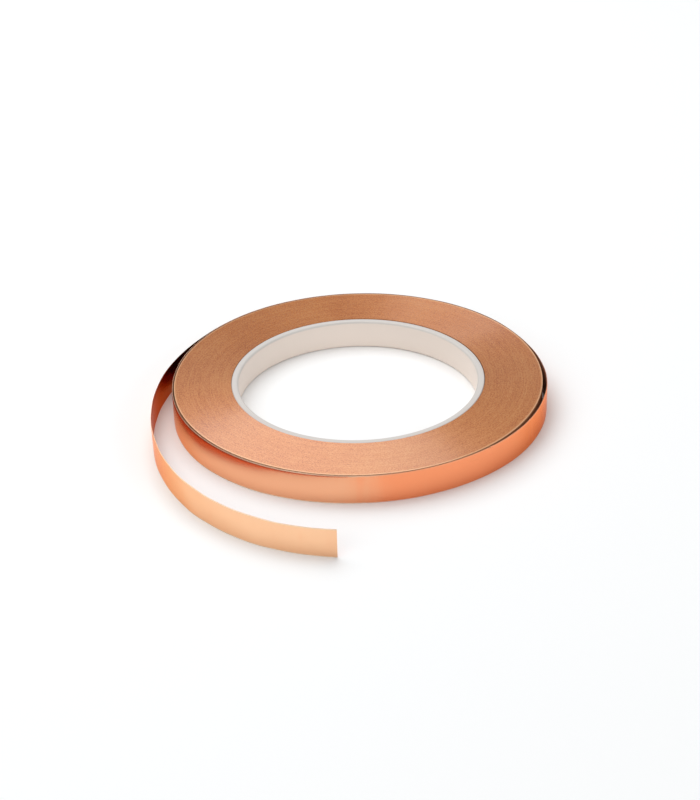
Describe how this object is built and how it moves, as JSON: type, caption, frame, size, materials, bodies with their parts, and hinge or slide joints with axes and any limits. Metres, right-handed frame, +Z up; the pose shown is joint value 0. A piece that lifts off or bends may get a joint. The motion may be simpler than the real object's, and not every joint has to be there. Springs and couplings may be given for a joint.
{
  "type": "copper foil tape roll",
  "caption": "Narrow roll of adhesive copper foil tape on a plastic core, lying flat, with a loose outer turn and a free end curving round the roll.",
  "frame": {"origin": "on the axis of the core's bore, in the plane of the bottom face that the roll rests on", "axes": "+Z up along the core's bore; +X towards the side where the loose turn stands furthest off the wound tape; the free end's cut edge is near -Y"},
  "size_m": [0.1251, 0.1473, 0.0095],
  "materials": {
    "core_plastic": "satin",
    "wound_tape": "matte",
    "copper_foil": "satin",
    "adhesive_film": "gloss",
    "release_liner": "matte"
  },
  "bodies": {
    "roll": {"core": "core_plastic", "wound_tape": "wound_tape"},
    "loose_turn": {"loose_turn_foil": "copper_foil", "loose_turn_adhesive": "adhesive_film", "loose_turn_liner": "release_liner"},
    "tail_1": {"tail_1_foil": "copper_foil", "tail_1_adhesive": "adhesive_film"},
    "tail_2": {"tail_2_foil": "copper_foil", "tail_2_adhesive": "adhesive_film"},
    "tail_3": {"tail_3_foil": "copper_foil", "tail_3_adhesive": "adhesive_film"},
    "tail_4": {"tail_4_foil": "copper_foil", "tail_4_adhesive": "adhesive_film"},
    "tail_5": {"tail_5_foil": "copper_foil", "tail_5_adhesive": "adhesive_film"},
    "tail_6": {"tail_6_foil": "copper_foil", "tail_6_adhesive": "adhesive_film"},
    "tail_7": {"tail_7_foil": "copper_foil", "tail_7_adhesive": "adhesive_film"},
    "tail_8": {"tail_8_foil": "copper_foil", "tail_8_adhesive": "adhesive_film"}
  },
  "joints": [
    {"name": "roll_turn", "type": "hinge", "parent": "roll", "child": "loose_turn", "pos_m": [0, 0, 0.00475], "axis": [0, 0, 1], "continuous": true},
    {"name": "tail_peel", "type": "hinge", "parent": "loose_turn", "child": "tail_1", "pos_m": [-0.04547, 0.03845, 0.00475], "axis": [0, 0, -1], "range_deg": [0, 20]},
    {"name": "tail_curl", "type": "hinge", "parent": "tail_1", "child": "tail_2", "pos_m": [-0.05661, 0.02123, 0.00475], "axis": [0, 0, -1], "range_deg": [-3, 15]},
    {"name": "tail_curl_2", "type": "hinge", "parent": "tail_2", "child": "tail_3", "pos_m": [-0.06319, 0.0018, 0.00475], "axis": [0, 0, -1], "range_deg": [-3, 15]},
    {"name": "tail_curl_3", "type": "hinge", "parent": "tail_3", "child": "tail_4", "pos_m": [-0.0648, -0.01864, 0.00475], "axis": [0, 0, -1], "range_deg": [-3, 15]},
    {"name": "tail_curl_4", "type": "hinge", "parent": "tail_4", "child": "tail_5", "pos_m": [-0.06134, -0.03886, 0.00475], "axis": [0, 0, -1], "range_deg": [-3, 15]},
    {"name": "tail_curl_5", "type": "hinge", "parent": "tail_5", "child": "tail_6", "pos_m": [-0.05303, -0.05761, 0.00475], "axis": [0, 0, -1], "range_deg": [-3, 15]},
    {"name": "tail_curl_6", "type": "hinge", "parent": "tail_6", "child": "tail_7", "pos_m": [-0.04102, -0.0721, 0.00475], "axis": [0, 0, -1], "range_deg": [-3, 15]},
    {"name": "tail_curl_7", "type": "hinge", "parent": "tail_7", "child": "tail_8", "pos_m": [-0.02523, -0.08236, 0.00475], "axis": [0, 0, -1], "range_deg": [-3, 15]}
  ],
  "couplings": [
    {"joint": "tail_curl_2", "follows": "tail_curl", "ratio": 1},
    {"joint": "tail_curl_3", "follows": "tail_curl", "ratio": 1},
    {"joint": "tail_curl_4", "follows": "tail_curl", "ratio": 1},
    {"joint": "tail_curl_5", "follows": "tail_curl", "ratio": 1},
    {"joint": "tail_curl_6", "follows": "tail_curl", "ratio": 1},
    {"joint": "tail_curl_7", "follows": "tail_curl", "ratio": 1}
  ]
}
